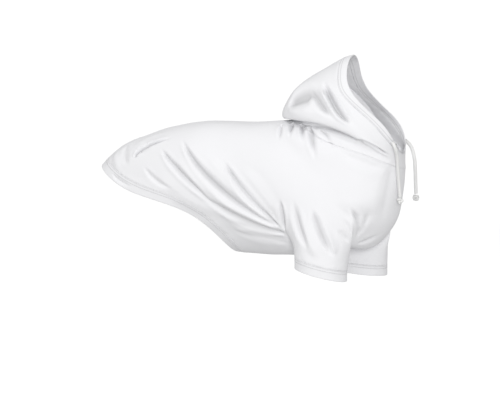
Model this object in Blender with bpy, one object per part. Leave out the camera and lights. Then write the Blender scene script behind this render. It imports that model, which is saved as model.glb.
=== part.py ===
"""A short-sleeved pullover hoodie for a small dog, in the form that it has when worn.

Metres. +X runs towards the dog's head, -Y to its near side, +Z up. The origin lies on the inner face
of the back panel over the withers. One smooth surface runs from the hem to the hood's edge and down
both sleeves. It is cut into panels along the seams, and each panel is a wall of cloth.
"""
import math
from collections import namedtuple

import bpy
import numpy as np
from mathutils import Vector
from mathutils.bvhtree import BVHTree

# Cloth and seams
CLOTH = 0.0016
SEAM_GAP = 0.0003
HEM_DEPTH = 0.0135
CUFF_DEPTH = 0.0135
CASING_DEPTH = 0.0125

# Body, measured on the outside
TAIL_REACH = 0.2245
CHEST_REACH = 0.171
CHEST_DEPTH = 0.166
CHEST_WIDTH = 0.138
NECK_WIDTH = 0.100

# Hood, from its seam at the nape
HOOD_OVERHANG = 0.024
HOOD_FORWARD = 0.0675
HOOD_RISE = 0.081
THROAT_RISE = 0.0195

# Sleeves
ARMHOLE_WIDTH = 0.082
CUFF_LENGTH = 0.065
CUFF_WIDTH = 0.054
LEG_SPREAD = 0.092

# Folds and drawcord
FOLD_DEPTH = 0.0045
FOLD_WIDTH = 0.0060
CORD_DIAMETER = 0.0045
KNOT_LENGTH = 0.0085
KNOT_WIDTH = 0.0078

# Grain of the cage
AROUND = 16
BODY_RINGS = 18
SLEEVE_RINGS = 4
SMOOTHING = 1
SHOULDER_REACH = 2
SHOULDER_ROUNDS = 5
FOLD_STEPS = 25

# Rings of the body from the hem to the neck seam. Lengths are shares: x of the reach to the tail
# (behind the withers) or to the chest (before them), drops and bows of the chest's depth.
BodyRow = namedtuple("BodyRow", "place back_x back_drop belly_x belly_drop chest neck bow skew")
BODY_ROWS = [BodyRow(*row) for row in (
    (0.00, -1.000, 0.348, -0.182, 0.994, 0.72, 0.00, 0.065, -0.055),
    (0.13, -0.870, 0.193, -0.040, 1.006, 0.79, 0.00, 0.060, -0.040),
    (0.25, -0.740, 0.127, 0.120, 1.008, 0.85, 0.00, 0.040, -0.015),
    (0.38, -0.570, 0.050, 0.290, 1.000, 0.91, 0.00, 0.015, 0.000),
    (0.50, -0.400, 0.012, 0.470, 0.975, 0.95, 0.00, 0.000, 0.000),
    (0.62, -0.220, 0.008, 0.680, 0.940, 0.99, 0.00, 0.000, 0.000),
    (0.74, -0.060, 0.006, 0.900, 0.920, 0.97, 0.00, 0.000, 0.000),
    (0.85, 0.090, -0.002, 0.968, 0.690, 0.60, 0.42, -0.010, 0.000),
    (0.93, 0.175, -0.010, 0.996, 0.482, 0.26, 0.75, -0.020, -0.010),
    (1.00, 0.251, -0.020, 1.008, 0.334, 0.00, 1.00, -0.018, -0.020),
)]

# Rings of the hood from the neck seam to the edge of the opening. Back x is a share of the overhang
# behind the nape or of the reach before it, rise and bows of the hood's rise, width of the neck's.
HoodRow = namedtuple("HoodRow", "name back_x rise width bow skew")
HOOD_ROWS = [HoodRow(*row) for row in (
    ("base", -0.04, 0.060, 0.99, 0.000, -0.020),
    ("crease", -0.18, 0.095, 0.97, 0.130, -0.010),
    ("under", -0.58, 0.035, 1.12, 0.185, -0.005),
    ("roll low", -0.86, 0.000, 1.22, 0.205, 0.000),
    ("roll out", -1.00, 0.045, 1.27, 0.250, 0.000),
    ("bulge", -0.98, 0.140, 1.25, 0.300, 0.000),
    ("side low", -0.76, 0.280, 1.19, 0.300, 0.000),
    ("side", -0.38, 0.450, 1.12, 0.250, 0.000),
    ("side high", 0.12, 0.620, 1.06, 0.185, -0.040),
    ("crown", 0.46, 0.790, 1.00, 0.120, -0.065),
    ("casing seam", 0.80, 0.950, 0.95, -0.015, -0.090),
    ("edge", 0.96, 0.985, 0.92, -0.085, -0.105),
)]

# Sleeves: hole and forward are the middles of the armhole and the cuff as shares of the chest's reach,
# drop the cuff's end as a share of the chest's depth, tilt its slope to the front in degrees.
SleeveRow = namedtuple("SleeveRow", "name side hole forward drop tilt")
SLEEVE_ROWS = [SleeveRow(*row) for row in (
    ("near", -1, 0.462, 0.463, 1.105, 13.0),
    ("far", 1, 0.590, 0.630, 1.145, 5.0),
)]
ARMHOLE_TOP = 0.36
ARMHOLE_BOTTOM = 0.97
ARMHOLE_INSIDE = 0.26

# Folds, each a valley along a curve through three places seen from the side. On the body x is a share
# of the reach to the tail or chest and z of the chest's depth. On a sleeve x starts at its middle. On
# the hood both start at the nape, as shares of its reach and rise. Depth and width are shares of the
# fold sizes.
FoldRow = namedtuple("FoldRow", "on x0 z0 x1 z1 x2 z2 depth width")
FOLD_ROWS = [FoldRow(*row) for row in (
    ("body", -0.67, -0.32, -0.53, -0.48, -0.42, -0.54, 0.50, 1.0),
    ("body", -0.55, -0.21, -0.37, -0.47, -0.19, -0.64, 0.75, 1.2),
    ("body", -0.42, -0.12, -0.19, -0.49, 0.08, -0.70, 0.95, 1.4),
    ("body", -0.18, -0.24, -0.07, -0.43, 0.10, -0.60, 0.90, 1.3),
    ("body", -0.76, -0.30, -0.68, -0.17, -0.49, -0.08, 0.60, 0.8),
    ("body", 0.29, -0.04, 0.29, -0.08, 0.30, -0.12, 0.45, 0.8),
    ("body", 0.38, -0.04, 0.40, -0.15, 0.41, -0.25, 0.55, 0.8),
    ("body", 0.47, -0.05, 0.49, -0.09, 0.51, -0.15, 0.45, 0.8),
    ("hood", 0.68, 0.73, 0.83, 0.24, 1.18, -0.06, 0.60, 1.1),
    ("hood", 0.40, 0.45, 0.47, 0.29, 0.75, 0.07, 0.60, 1.6),
    ("sleeve", -0.12, -0.68, -0.09, -0.81, -0.05, -0.92, 0.55, 0.9),
    ("sleeve", 0.02, -0.68, 0.05, -0.82, 0.14, -0.97, 0.60, 0.9),
)]
FOLD_PANELS = {
    "body": ("hem_band", "body"),
    "hood": ("hood", "hood_casing"),
    "sleeve": ("near_sleeve", "near_cuff", "far_sleeve", "far_cuff"),
}

# The drawcord's free ends, from the casing down to the knot.
CORD_POINTS = 9
NEAR_ROUTE = [
    (0.1657, -0.0351, -0.0220), (0.1676, -0.0370, -0.0243), (0.1696, -0.0362, -0.0295),
    (0.1702, -0.0322, -0.0368), (0.1703, -0.0277, -0.0504), (0.1705, -0.0237, -0.0665),
    (0.1714, -0.0215, -0.0800), (0.1719, -0.0205, -0.0885),
]
FAR_ROUTE = [
    (0.1653, 0.0347, -0.0220), (0.1673, 0.0368, -0.0242), (0.1712, 0.0384, -0.0292),
    (0.1746, 0.0370, -0.0368), (0.1768, 0.0352, -0.0450), (0.1781, 0.0340, -0.0570),
    (0.1788, 0.0332, -0.0710), (0.1796, 0.0326, -0.0883),
]
KnotRow = namedtuple("KnotRow", "down radius")
KNOT_ROWS = [KnotRow(*row) for row in ((0.0, 0.30), (0.18, 0.44), (0.48, 0.50), (0.78, 0.42), (1.0, 0.22))]
KNOT_SIDES = 10

PALE_CLOTH = (0.905, 0.905, 0.915, 1.0)
PALE_RIB = (0.925, 0.925, 0.930, 1.0)
PALE_CORD = (0.935, 0.935, 0.935, 1.0)


def clear_scene():
    """Removes what the scene holds."""
    for obj in list(bpy.data.objects):
        bpy.data.objects.remove(obj, do_unlink=True)


def cloth_material(name, colour, roughness):
    """A plain matt cloth."""
    material = bpy.data.materials.new(name)
    material.use_nodes = True
    shader = material.node_tree.nodes["Principled BSDF"]
    shader.inputs["Base Color"].default_value = colour
    shader.inputs["Roughness"].default_value = roughness
    shader.inputs["Metallic"].default_value = 0.0
    return material


def add_object(name, mesh, material):
    """Links a finished node."""
    mesh.materials.clear()
    mesh.materials.append(material)
    obj = bpy.data.objects.new(name, mesh)
    bpy.context.collection.objects.link(obj)
    return obj


def along(share):
    """An x from a share of the reach to the tail or to the chest."""
    return share * (TAIL_REACH if share < 0 else CHEST_REACH)


def between(rows, place):
    """A row's numbers at a place between the rows, on a smooth curve through them."""
    table = np.array(rows, float)
    places = table[:, 0]
    slopes = np.gradient(table, places, axis=0)
    i = int(np.clip(np.searchsorted(places, place) - 1, 0, len(places) - 2))
    step = places[i + 1] - places[i]
    t = (place - places[i]) / step
    start, end = table[i], table[i + 1]
    return (start * (1 + 2 * t) * (1 - t) ** 2 + end * t * t * (3 - 2 * t)
            + step * (slopes[i] * t * (1 - t) ** 2 - slopes[i + 1] * t * t * (1 - t)))


# A ring is a loop round the dog: its top and bottom on the middle line, its half width, and how far
# its sides are bowed up from the chord.
Ring = namedtuple("Ring", "top bottom half bow skew")


def body_ring(place):
    """The ring of the body at a share of the way from the hem to the neck seam."""
    row = BodyRow(*between(BODY_ROWS, place))
    return Ring(
        np.array([along(row.back_x), CLOTH - row.back_drop * CHEST_DEPTH]),
        np.array([along(row.belly_x), CLOTH - row.belly_drop * CHEST_DEPTH]),
        (row.chest * CHEST_WIDTH + row.neck * NECK_WIDTH) / 2,
        row.bow * CHEST_DEPTH,
        row.skew * CHEST_DEPTH,
    )


def hood_rings():
    """The rings of the hood, with the share of the way up its front that each has."""
    seam = body_ring(1.0)
    rings = [seam]
    for number, row in enumerate(HOOD_ROWS, 1):
        reach = HOOD_OVERHANG if row.back_x < 0 else HOOD_FORWARD
        share = number / len(HOOD_ROWS)
        rings.append(Ring(
            seam.top + np.array([row.back_x * reach, row.rise * HOOD_RISE]),
            seam.bottom + np.array([-0.1, 1.0]) * share * THROAT_RISE,
            row.width * NECK_WIDTH / 2,
            row.bow * HOOD_RISE,
            row.skew * HOOD_RISE,
        ))
    return rings


def ring_point(ring, turn):
    """A point of a ring. A turn of 0 is the top, a quarter the near side and a half the bottom."""
    angle = 2 * math.pi * turn
    level = math.cos(angle)
    across = math.sin(angle)
    down = 0.5 - 0.5 * math.copysign(abs(level) ** 0.92, level)
    chord = ring.bottom - ring.top
    normal = np.array([-chord[1], chord[0]]) / np.hypot(*chord)
    lift = ring.bow * math.sin(math.pi * down) + ring.skew * math.sin(2 * math.pi * down)
    x, z = ring.top + chord * down + normal * lift
    y = -ring.half * math.copysign(abs(across) ** 0.85, across)
    return np.array([x, y, z])


def ring_points(ring):
    """The corners of the cage on a ring."""
    return [ring_point(ring, j / AROUND) for j in range(AROUND)]


def hood_cage():
    """The hood's rows of corners. Towards the throat its roll fades into a plain strip."""
    rings = [ring_points(ring) for ring in hood_rings()]
    strands = []
    for j in range(AROUND):
        level = math.cos(2 * math.pi * j / AROUND)
        fade = np.clip((-level - 0.30) / 0.70, 0, 1) ** 1.3
        strand = np.array([ring[j] for ring in rings])
        strip = np.linspace(strand[0], strand[-1], len(strand))
        strands.append(with_casing(strand) * (1 - fade) + strip * fade)
    return [[strand[k] for strand in strands] for k in range(len(rings))]


def with_casing(strand):
    """A strand of the hood, moved along itself so that its last step is as deep as the casing."""
    steps = np.linalg.norm(np.diff(strand, axis=0), axis=1)
    marks = np.concatenate([[0], np.cumsum(steps)])
    casing = min(CASING_DEPTH, marks[-1] / 2)
    places = marks * (marks[-1] - casing) / marks[-2]
    places[-1] = marks[-1]
    return np.stack([np.interp(places, marks, strand[:, axis]) for axis in range(3)], axis=1)


def grid_tree(rows):
    """A search tree over a closed grid of rings."""
    count = len(rows[0])
    points = [Vector(point) for row in rows for point in row]
    faces = [(i * count + j, i * count + (j + 1) % count,
              (i + 1) * count + (j + 1) % count, (i + 1) * count + j)
             for i in range(len(rows) - 1) for j in range(count)]
    return BVHTree.FromPolygons(points, faces)


def body_tree():
    """A search tree over the body's smooth form, with no armholes."""
    fine = 4 * AROUND
    rows = [[ring_point(body_ring(i / 60), j / fine) for j in range(fine)] for i in range(61)]
    return grid_tree(rows)


PANELS = ("hem_band", "body", "hood", "hood_casing", "near_sleeve", "near_cuff", "far_sleeve", "far_cuff")
ARMHOLE_FIRST, ARMHOLE_LAST = 8, 13
ARMHOLE_UP, ARMHOLE_DOWN = 4, 7


class Cage:
    """The corners and faces of the whole surface, before it is smoothed."""

    def __init__(self):
        self.points = []
        self.faces = []
        self.labels = []

    def add_ring(self, points):
        """Adds a loop of corners and gives their numbers."""
        first = len(self.points)
        self.points.extend(np.array(point) for point in points)
        return list(range(first, first + len(points)))

    def join(self, lower, upper, panel, skip=()):
        """Adds a band of faces between two loops, apart from those skipped."""
        count = len(lower)
        for j in range(count):
            if j not in skip:
                after = (j + 1) % count
                self.faces.append((lower[j], lower[after], upper[after], upper[j]))
                self.labels.append(PANELS.index(panel))


def hem_seam_places():
    """For each corner round the body, the place where the body is one hem's depth from its edge."""
    hem = body_ring(0.0)
    edge = np.array([ring_point(hem, turn / 200) for turn in range(200)])
    places = []
    for j in range(AROUND):
        low, high = 0.0, 0.3
        for _ in range(20):
            middle = (low + high) / 2
            point = ring_point(body_ring(middle), j / AROUND)
            if np.linalg.norm(edge - point, axis=1).min() < HEM_DEPTH:
                low = middle
            else:
                high = middle
        places.append(high)
    return places


def body_rows():
    """The body's rows of corners: the hem's edge, its seam, then even steps to the neck."""
    steps = BODY_RINGS - 2
    rows = [ring_points(body_ring(0.0))]
    seams = hem_seam_places()
    for i in range(steps + 1):
        rows.append([ring_point(body_ring(seam + (1 - seam) * i / steps), j / AROUND)
                     for j, seam in enumerate(seams)])
    return rows


def armhole_faces(side):
    """The faces round the body that one side's armhole takes out of a ring."""
    near = range(ARMHOLE_UP, ARMHOLE_DOWN)
    return [j if side < 0 else AROUND - 1 - j for j in near]


def armhole_loop(rings, side):
    """The corners round one armhole, in order."""
    up = ARMHOLE_UP if side < 0 else AROUND - ARMHOLE_UP
    down = ARMHOLE_DOWN if side < 0 else AROUND - ARMHOLE_DOWN
    step = 1 if down > up else -1
    loop = [rings[ARMHOLE_FIRST][j] for j in range(up, down, step)]
    loop += [rings[i][down] for i in range(ARMHOLE_FIRST, ARMHOLE_LAST)]
    loop += [rings[ARMHOLE_LAST][j] for j in range(down, up, -step)]
    loop += [rings[i][up] for i in range(ARMHOLE_LAST, ARMHOLE_FIRST, -1)]
    return loop if side < 0 else loop[::-1]


def shape_armhole(cage, loop, row, tree):
    """Moves an armhole's corners onto an oval on the body's form."""
    forward = row.hole * CHEST_REACH
    top = np.array([forward, row.side * CHEST_WIDTH / 2, -ARMHOLE_TOP * CHEST_DEPTH])
    foot = np.array([forward, row.side * ARMHOLE_INSIDE * CHEST_WIDTH / 2, -ARMHOLE_BOTTOM * CHEST_DEPTH])
    centre, rise = (top + foot) / 2, (top - foot) / 2
    ahead = np.array([ARMHOLE_WIDTH / 2, 0, 0])
    count = len(loop)
    angles = []
    for number in loop:
        offset = cage.points[number] - centre
        angles.append(math.atan2(offset @ rise / (rise @ rise), offset @ ahead / (ahead @ ahead)))
    turns = np.unwrap(angles)
    step = math.copysign(2 * math.pi / count, turns[-1] - turns[0])
    start = np.mean(turns - step * np.arange(count))
    for k, number in enumerate(loop):
        angle = start + step * k
        point = centre + ahead * math.cos(angle) + rise * math.sin(angle)
        nearest = tree.find_nearest(Vector(point))[0]
        cage.points[number] = np.array(nearest)
    return centre


def relax(cage, fixed, tree, rounds):
    """Evens out the corners of the body round the armholes, on the body's form."""
    links = linked(cage)
    free = [number for number in links if number not in fixed]
    for _ in range(rounds):
        moved = {}
        for number in free:
            mean = np.mean([cage.points[other] for other in links[number]], axis=0)
            moved[number] = np.array(tree.find_nearest(Vector(mean))[0])
        for number, point in moved.items():
            cage.points[number] = point


def cuff_ring(row, above, angles):
    """A loop of the cuff at a height above its end."""
    centre = np.array([row.forward * CHEST_REACH, row.side * LEG_SPREAD / 2, -row.drop * CHEST_DEPTH + above])
    slope = math.tan(math.radians(row.tilt))
    points = []
    for angle in angles:
        ahead = CUFF_LENGTH / 2 * math.cos(angle)
        out = CUFF_WIDTH / 2 * math.sin(angle)
        points.append(centre + np.array([ahead, row.side * out, -slope * ahead]))
    return points


def add_sleeve(cage, loop, row):
    """Runs a sleeve and its cuff down from an armhole."""
    count = len(loop)
    centre = np.mean([cage.points[number] for number in loop], axis=0)
    turns = []
    for number in loop:
        offset = cage.points[number] - centre
        out = row.side * offset[1] + 0.6 * offset[2]
        turns.append(math.atan2(out, offset[0]))
    turns = np.unwrap(turns)
    step = math.copysign(2 * math.pi / count, turns[-1] - turns[0])
    angles = np.mean(turns - step * np.arange(count)) + step * np.arange(count)
    end = cuff_ring(row, 0.0, angles)
    seam = cuff_ring(row, CUFF_DEPTH, angles)
    starts = [cage.points[number] for number in loop]
    previous = loop
    for ring in range(1, SLEEVE_RINGS + 1):
        t = ring / SLEEVE_RINGS
        ease = t * t * (3 - 2 * t)
        points = []
        for start, finish in zip(starts, seam):
            point = start * (1 - ease) + finish * ease
            point[2] = start[2] * (1 - t) + finish[2] * t
            points.append(point)
        numbers = cage.add_ring(points)
        cage.join(previous, numbers, row.name + "_sleeve")
        previous = numbers
    cage.join(previous, cage.add_ring(end), row.name + "_cuff")


def build_cage():
    """The whole garment as one coarse surface."""
    cage = Cage()
    rings = [cage.add_ring(row) for row in body_rows()]
    holes = armhole_faces(-1) + armhole_faces(1)
    for i in range(BODY_RINGS - 1):
        inside = ARMHOLE_FIRST <= i < ARMHOLE_LAST
        cage.join(rings[i], rings[i + 1], "hem_band" if i == 0 else "body", holes if inside else ())
    tree = body_tree()
    loops = [armhole_loop(rings, row.side) for row in SLEEVE_ROWS]
    for loop, row in zip(loops, SLEEVE_ROWS):
        shape_armhole(cage, loop, row, tree)
    fixed = set(rings[0] + rings[1] + rings[-1] + loops[0] + loops[1])
    relax(cage, fixed, tree, 6)
    rows = hood_cage()
    previous = rings[-1]
    for i, row in enumerate(rows[1:]):
        numbers = cage.add_ring(row)
        cage.join(previous, numbers, "hood" if i < len(rows) - 2 else "hood_casing")
        previous = numbers
    for loop, row in zip(loops, SLEEVE_ROWS):
        add_sleeve(cage, loop, row)
    soften_shoulders(cage, loops)
    return cage


def linked(cage):
    """The corners that share an edge with each corner."""
    links = {}
    for face in cage.faces:
        for a, b in zip(face, face[1:] + face[:1]):
            links.setdefault(a, set()).add(b)
            links.setdefault(b, set()).add(a)
    return links


def soften_shoulders(cage, loops):
    """Blends the top of each sleeve into the shoulder. The armpit stays a crease, the chest full."""
    links = linked(cage)
    for loop in loops:
        near = {number: 1.0 for number in loop}
        for step in range(SHOULDER_REACH):
            for number in list(near):
                for other in links[number]:
                    near.setdefault(other, 1 - (step + 1) / (SHOULDER_REACH + 1))
        foot = -ARMHOLE_BOTTOM * CHEST_DEPTH
        rise = (ARMHOLE_BOTTOM - ARMHOLE_TOP) * CHEST_DEPTH
        front = max(cage.points[number][0] for number in loop) - ARMHOLE_WIDTH / 4
        for _ in range(SHOULDER_ROUNDS):
            moved = {}
            for number, share in near.items():
                point = cage.points[number]
                height = np.clip((point[2] - foot) / rise, 0, 1)
                behind = np.clip(1 - (point[0] - front) / (ARMHOLE_WIDTH / 4), 0, 1)
                mean = np.mean([cage.points[other] for other in links[number]], axis=0)
                moved[number] = point + (mean - point) * height ** 1.5 * share * behind
            for number, point in moved.items():
                cage.points[number] = point


def smooth_surface(points, cage, levels):
    """The cage as a mesh, rounded by subdivision."""
    mesh = bpy.data.meshes.new("surface")
    mesh.from_pydata([tuple(point) for point in points], [], cage.faces)
    mesh.polygons.foreach_set("material_index", cage.labels)
    obj = bpy.data.objects.new("surface", mesh)
    bpy.context.collection.objects.link(obj)
    for name in PANELS:
        mesh.materials.append(None)
    modifier = obj.modifiers.new("rounding", "SUBSURF")
    modifier.levels = levels
    modifier.render_levels = levels
    graph = bpy.context.evaluated_depsgraph_get()
    smooth = bpy.data.meshes.new_from_object(obj.evaluated_get(graph))
    bpy.data.objects.remove(obj, do_unlink=True)
    bpy.data.meshes.remove(mesh)
    return smooth


def corners_of(mesh):
    """A mesh's corners as an array."""
    flat = np.empty(3 * len(mesh.vertices))
    mesh.vertices.foreach_get("co", flat)
    return flat.reshape(-1, 3)


def garment_surface(levels):
    """The smooth surface, which passes through the cage's own corners."""
    cage = build_cage()
    target = np.array(cage.points)
    points = target.copy()
    for _ in range(2):
        smooth = smooth_surface(points, cage, 1)
        points += target - corners_of(smooth)[:len(points)]
    return smooth_surface(points, cage, levels)


def normals_of(mesh):
    """A mesh's corner normals as an array."""
    return np.array([tuple(vertex.normal) for vertex in mesh.vertices])


def press_folds(mesh):
    """Presses the folds of the table into both sides."""
    points, normals = corners_of(mesh), normals_of(mesh)
    push = np.zeros(len(points))
    for on, panels in FOLD_PANELS.items():
        labels = {PANELS.index(name) for name in panels}
        faces = [tuple(face.vertices) for face in mesh.polygons if face.material_index in labels]
        members = sorted({number for face in faces for number in face})
        tree = BVHTree.FromPolygons([Vector(point) for point in points], faces)
        for sleeve in SLEEVE_ROWS:
            for row in FOLD_ROWS:
                if row.on == on:
                    path = fold_path(row, sleeve, tree)
                    push[members] += fold_push(row, path, points[members])
    points += normals * push[:, None]
    mesh.vertices.foreach_set("co", points.ravel())
    mesh.update()


def fold_place(row, sleeve, x, z):
    """A fold's place seen from the side, in metres."""
    if row.on == "hood":
        nape = body_ring(1.0).top
        return nape + np.array([x * HOOD_FORWARD, z * HOOD_RISE])
    if row.on == "sleeve":
        return np.array([(sleeve.forward + x) * CHEST_REACH, z * CHEST_DEPTH])
    return np.array([along(x), z * CHEST_DEPTH])


def fold_path(row, sleeve, tree):
    """Points along a fold's valley on one side of the surface."""
    knots = [fold_place(row, sleeve, *place) for place in
             ((row.x0, row.z0), (row.x1, row.z1), (row.x2, row.z2))]
    bend = 2 * knots[1] - (knots[0] + knots[2]) / 2
    path = []
    for t in np.linspace(0, 1, FOLD_STEPS):
        x, z = knots[0] * (1 - t) ** 2 + bend * 2 * t * (1 - t) + knots[2] * t * t
        hit = tree.ray_cast(Vector((x, sleeve.side * CHEST_WIDTH, z)), Vector((0, -sleeve.side, 0)))[0]
        if hit is None:
            hit = tree.find_nearest(Vector((x, sleeve.side * CHEST_WIDTH / 2, z)))[0]
        path.append(np.array(hit))
    return np.array(path)


def fold_push(row, path, points):
    """How far a fold moves each corner along its normal."""
    gaps = np.linalg.norm(points[:, None, :] - path[None, :, :], axis=2)
    place = np.argmin(gaps, axis=1) / (len(path) - 1)
    across = (gaps.min(axis=1) / (row.width * FOLD_WIDTH)) ** 2
    fade = np.sin(math.pi * place) ** 0.8
    return -row.depth * FOLD_DEPTH * fade * (1 - 0.55 * across) * np.exp(-across / 1.6)


def panel_walls(mesh, name, material):
    """One panel of the surface as a wall of cloth, with a small gap at its seams."""
    points, normals = corners_of(mesh), normals_of(mesh)
    label = PANELS.index(name)
    faces = [tuple(polygon.vertices) for polygon in mesh.polygons if polygon.material_index == label]
    ways = {}
    for face in faces:
        for a, b in zip(face, face[1:] + face[:1]):
            ways[(a, b)] = face
    rim = [edge for edge in ways if (edge[1], edge[0]) not in ways]
    shift = {}
    for a, b in rim:
        line = points[b] - points[a]
        for number in (a, b):
            inward = np.cross(normals[number], line)
            shift[number] = shift.get(number, 0) + inward / np.linalg.norm(inward)
    used = sorted({number for face in faces for number in face})
    index = {number: k for k, number in enumerate(used)}
    outer = []
    for number in used:
        point = points[number]
        if number in shift:
            point = point + shift[number] / np.linalg.norm(shift[number]) * SEAM_GAP / 2
        outer.append(point)
    inner = [point - normals[number] * CLOTH for point, number in zip(outer, used)]
    count = len(used)
    walls = [tuple(index[number] for number in face) for face in faces]
    walls += [tuple(count + index[number] for number in reversed(face)) for face in faces]
    walls += [(index[b], index[a], count + index[a], count + index[b]) for a, b in rim]
    panel = bpy.data.meshes.new(name)
    panel.from_pydata([tuple(point) for point in outer + inner], [], walls)
    panel.shade_smooth()
    panel.set_sharp_from_angle(angle=math.radians(50))
    return add_object(name, panel, material)


def smooth_route(route):
    """Even points on a smooth curve through a route's own points."""
    knots = np.array(route)
    marks = np.concatenate([[0], np.cumsum(np.linalg.norm(np.diff(knots, axis=0), axis=1))])
    slopes = np.gradient(knots, marks, axis=0)
    points = []
    for place in np.linspace(0, marks[-1], CORD_POINTS):
        i = int(np.clip(np.searchsorted(marks, place) - 1, 0, len(marks) - 2))
        step = marks[i + 1] - marks[i]
        t = (place - marks[i]) / step
        points.append(knots[i] * (1 + 2 * t) * (1 - t) ** 2 + knots[i + 1] * t * t * (3 - 2 * t)
                      + step * (slopes[i] * t * (1 - t) ** 2 - slopes[i + 1] * t * t * (1 - t)))
    return points


def add_drawcord(name, route, material):
    """One free end of the drawcord, as a round tube."""
    curve = bpy.data.curves.new(name, "CURVE")
    curve.dimensions = "3D"
    curve.bevel_depth = CORD_DIAMETER / 2
    curve.bevel_resolution = 2
    curve.use_fill_caps = True
    points = smooth_route(route)
    spline = curve.splines.new("POLY")
    spline.points.add(len(points) - 1)
    for target, point in zip(spline.points, points):
        target.co = (*point, 1.0)
    return add_object(name, curve, material)


def add_knot(name, route, material):
    """The knot below the end of a drawcord, a round body with a flat top."""
    mesh = bpy.data.meshes.new(name)
    top = Vector(route[-1]) - Vector((0, 0, SEAM_GAP))
    corners = []
    for row in KNOT_ROWS:
        for k in range(KNOT_SIDES):
            angle = 2 * math.pi * k / KNOT_SIDES
            corners.append(top + Vector((row.radius * KNOT_WIDTH * math.cos(angle),
                                         row.radius * KNOT_WIDTH * math.sin(angle),
                                         -row.down * KNOT_LENGTH)))
    faces = [tuple(range(KNOT_SIDES)), tuple(range(len(corners) - 1, len(corners) - KNOT_SIDES - 1, -1))]
    for i in range(len(KNOT_ROWS) - 1):
        for k in range(KNOT_SIDES):
            after = (k + 1) % KNOT_SIDES
            faces.append((i * KNOT_SIDES + k, (i + 1) * KNOT_SIDES + k,
                          (i + 1) * KNOT_SIDES + after, i * KNOT_SIDES + after))
    mesh.from_pydata(corners, [], faces)
    mesh.shade_smooth()
    return add_object(name, mesh, material)


def main():
    clear_scene()
    cloth = cloth_material("jersey", PALE_CLOTH, 0.9)
    band = cloth_material("folded jersey", PALE_RIB, 0.88)
    cord = cloth_material("knitted cord", PALE_CORD, 0.85)
    surface = garment_surface(SMOOTHING)
    press_folds(surface)
    for name in PANELS:
        plain = name in ("body", "hood", "near_sleeve", "far_sleeve")
        panel_walls(surface, name, cloth if plain else band)
    bpy.data.meshes.remove(surface)
    add_drawcord("near_drawcord", NEAR_ROUTE, cord)
    add_knot("near_knot", NEAR_ROUTE, cord)
    add_drawcord("far_drawcord", FAR_ROUTE, cord)
    add_knot("far_knot", FAR_ROUTE, cord)


main()
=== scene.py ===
"""Looks of a white dog hoodie, in the form that it has when worn.

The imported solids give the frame. The garment's surface is worked out again from the same sizes and
tables, finer and with all of its folds. Metres, +X towards the hood's opening, -Y to the near side,
+Z up.
"""
import math
from collections import namedtuple

import bmesh
import bpy
import numpy as np
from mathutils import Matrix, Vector, noise
from mathutils.bvhtree import BVHTree
from mathutils.kdtree import KDTree


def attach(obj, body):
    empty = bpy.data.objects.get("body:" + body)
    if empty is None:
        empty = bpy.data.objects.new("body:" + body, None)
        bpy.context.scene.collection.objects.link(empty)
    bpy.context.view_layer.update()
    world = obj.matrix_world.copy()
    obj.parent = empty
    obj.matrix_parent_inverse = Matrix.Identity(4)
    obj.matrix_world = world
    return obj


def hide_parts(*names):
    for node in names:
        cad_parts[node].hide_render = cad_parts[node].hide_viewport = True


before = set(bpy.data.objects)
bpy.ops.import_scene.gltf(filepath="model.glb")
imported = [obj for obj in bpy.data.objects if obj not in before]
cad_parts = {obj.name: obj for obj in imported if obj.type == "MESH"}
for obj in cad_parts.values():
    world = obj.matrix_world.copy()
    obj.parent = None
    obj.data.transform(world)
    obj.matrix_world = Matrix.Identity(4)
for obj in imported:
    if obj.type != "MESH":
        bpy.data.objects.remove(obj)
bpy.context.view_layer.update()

# Camera
VIEW_TURN = 18.0
VIEW_RISE = 5.0
VIEW_DISTANCE = 2.2
VIEW_TARGET = (-0.02097, -0.01638, -0.10398)
VIEW_LENS = 126.72
SENSOR_WIDTH = 36.0

# Cloth and seams
CLOTH = 0.0016
SEAM_GAP = 0.0001
HEM_DEPTH = 0.0135
CUFF_DEPTH = 0.0135
CASING_DEPTH = 0.0125

# Body, measured on the outside
TAIL_REACH = 0.2245
CHEST_REACH = 0.171
CHEST_DEPTH = 0.166
CHEST_WIDTH = 0.138
NECK_WIDTH = 0.100

# Hood, from its seam at the nape
HOOD_OVERHANG = 0.024
HOOD_FORWARD = 0.0675
HOOD_RISE = 0.081
THROAT_RISE = 0.0195

# Sleeves
ARMHOLE_WIDTH = 0.082
CUFF_LENGTH = 0.065
CUFF_WIDTH = 0.054
LEG_SPREAD = 0.092

# Folds and drawcord
FOLD_DEPTH = 0.0045
FOLD_WIDTH = 0.0060
CORD_DIAMETER = 0.0045
KNOT_LENGTH = 0.0085
KNOT_WIDTH = 0.0078

# Grain of the surface: corners round it, rings along it, and levels of rounding
AROUND = 16
BODY_RINGS = 18
SLEEVE_RINGS = 4
SMOOTHING = 3
FIT_ROUNDS = 2

# Grain of the body's plain form, on which the armholes' corners are moved and evened
FORM_RINGS = 60
FORM_AROUND = 64
RELAX_ROUNDS = 6
SHOULDER_REACH = 2
SHOULDER_ROUNDS = 5
SHOULDER_EASE = 1.5

# Search for the hem's seam, one hem's depth from the edge
EDGE_STEPS = 200
SEAM_SEARCH = 0.3
HALVINGS = 20

# Evening of the finer grid, and halving of its faces within a share of a fold's width from its valley.
# The faces at a narrow fold are halved twice.
EVEN_ROUNDS = 3
EVEN_STEPS = 4
FINE_REACH = 1.0
NARROW = 0.40

# Form of every ring: how its corners crowd to the middle line, and how full its sides are
LEVEL_EASE = 0.92
SIDE_FULLNESS = 0.85

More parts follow.
